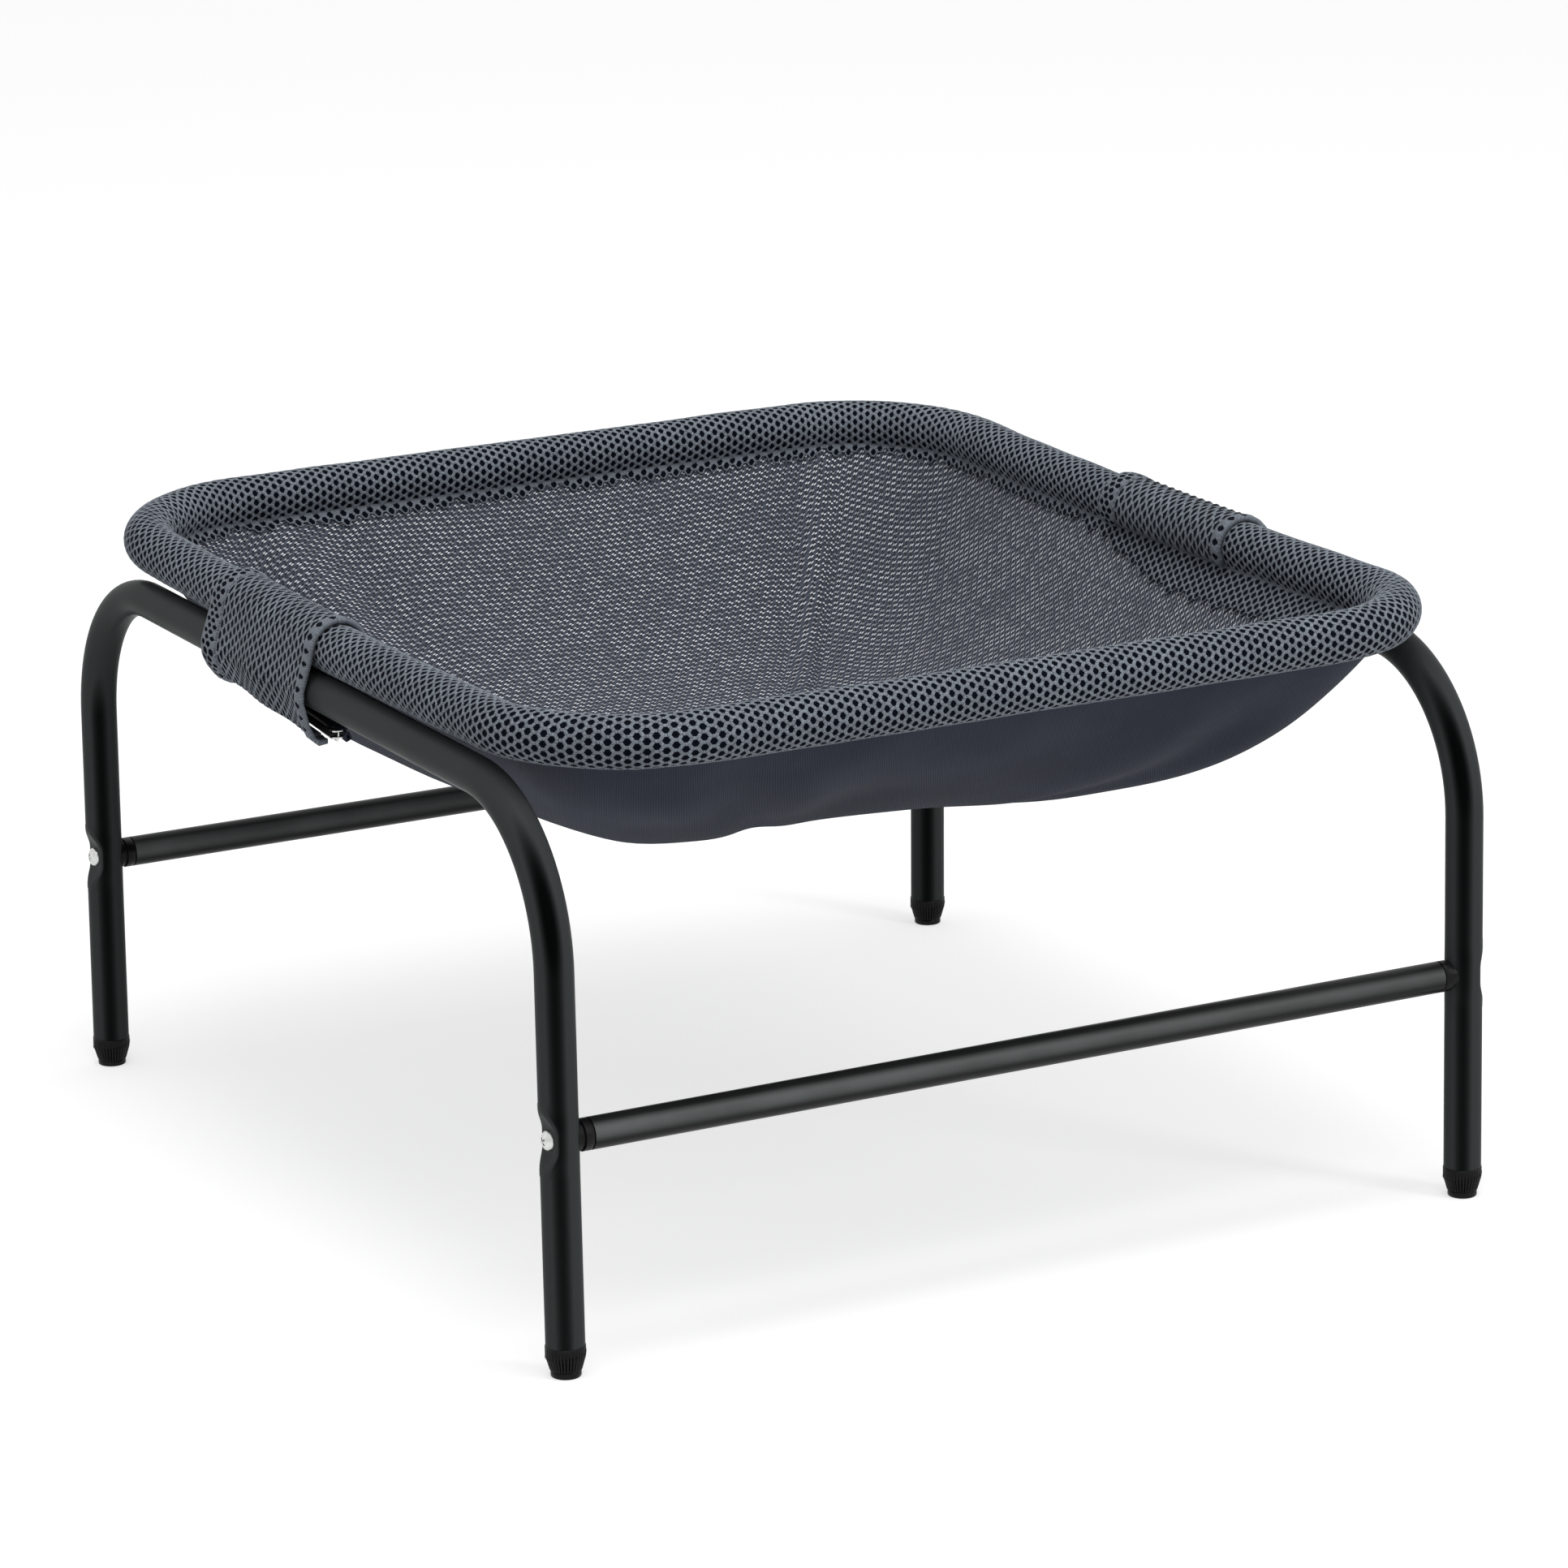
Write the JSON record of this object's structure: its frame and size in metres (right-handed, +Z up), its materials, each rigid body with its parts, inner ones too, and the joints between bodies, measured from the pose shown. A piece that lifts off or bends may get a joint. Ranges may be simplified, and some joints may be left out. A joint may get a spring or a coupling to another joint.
{
  "type": "elevated pet bed",
  "caption": "Raised pet bed: a deep fabric hammock with a padded mesh rim, zipped by side flaps to a black bent-tube steel frame with cross rails.",
  "frame": {"origin": "on the floor, midway between the four feet", "axes": "+X to the bed's right along the cross rails, +Y from front to back along the side frames, +Z up"},
  "size_m": [0.5298, 0.573, 0.3137],
  "materials": {
    "black_paint": "satin powder coat",
    "black_plastic": "moulded, satin",
    "zinc": "bright zinc plate",
    "bare_steel": "drawn steel",
    "foam": "open-cell foam",
    "air_mesh": "blue-grey spacer mesh",
    "fleck_mesh": "blue-grey mesh with silver flecks",
    "woven_cloth": "dark navy ribbed weave",
    "zip_tape": "black woven zip tape",
    "zip_metal": "nickel plate"
  },
  "bodies": {
    "bed": {"left_side_frame": "black_paint", "right_side_frame": "black_paint", "front_cross_rail": "black_paint", "rear_cross_rail": "black_paint", "front_left_rail_plug": "black_plastic", "front_right_rail_plug": "black_plastic", "rear_left_rail_plug": "black_plastic", "rear_right_rail_plug": "black_plastic", "front_left_nut": "bare_steel", "front_right_nut": "bare_steel", "rear_left_nut": "bare_steel", "rear_right_nut": "bare_steel", "front_left_screw": "zinc", "front_right_screw": "zinc", "rear_left_screw": "zinc", "rear_right_screw": "zinc", "front_left_foot_cap": "black_plastic", "front_right_foot_cap": "black_plastic", "rear_left_foot_cap": "black_plastic", "rear_right_foot_cap": "black_plastic", "rim_core_ring": "bare_steel", "rim_foam_tube": "foam", "rim_mesh_sleeve": "air_mesh", "sling_inner_layer": "fleck_mesh", "sling_outer_layer": "woven_cloth", "left_flap": "air_mesh", "right_flap": "air_mesh", "left_inner_strip": "woven_cloth", "right_inner_strip": "woven_cloth", "left_zip_outer_tape": "zip_tape", "right_zip_outer_tape": "zip_tape", "left_zip_inner_tape": "zip_tape", "right_zip_inner_tape": "zip_tape"},
    "left_slider": {"left_zip_slider": "zip_metal"},
    "right_slider": {"right_zip_slider": "zip_metal"},
    "left_pull": {"left_zip_pull": "zip_metal"},
    "right_pull": {"right_zip_pull": "zip_metal"}
  },
  "joints": [
    {"name": "left_zip_slide", "type": "slide", "parent": "bed", "child": "left_slider", "axis": [0, 0.9976, 0.0696], "range_m": [0, 0.109]},
    {"name": "right_zip_slide", "type": "slide", "parent": "bed", "child": "right_slider", "axis": [0, 0.9976, 0.0696], "range_m": [0, 0.109]},
    {"name": "left_pull_swing", "type": "hinge", "parent": "left_slider", "child": "left_pull", "pos_m": [-0.247, -0.0203, 0.25075], "axis": [-1, 0, 0], "range_deg": [0, 180]},
    {"name": "right_pull_swing", "type": "hinge", "parent": "right_slider", "child": "right_pull", "pos_m": [0.247, -0.0733, 0.25075], "axis": [-1, 0, 0], "range_deg": [0, 180]}
  ]
}
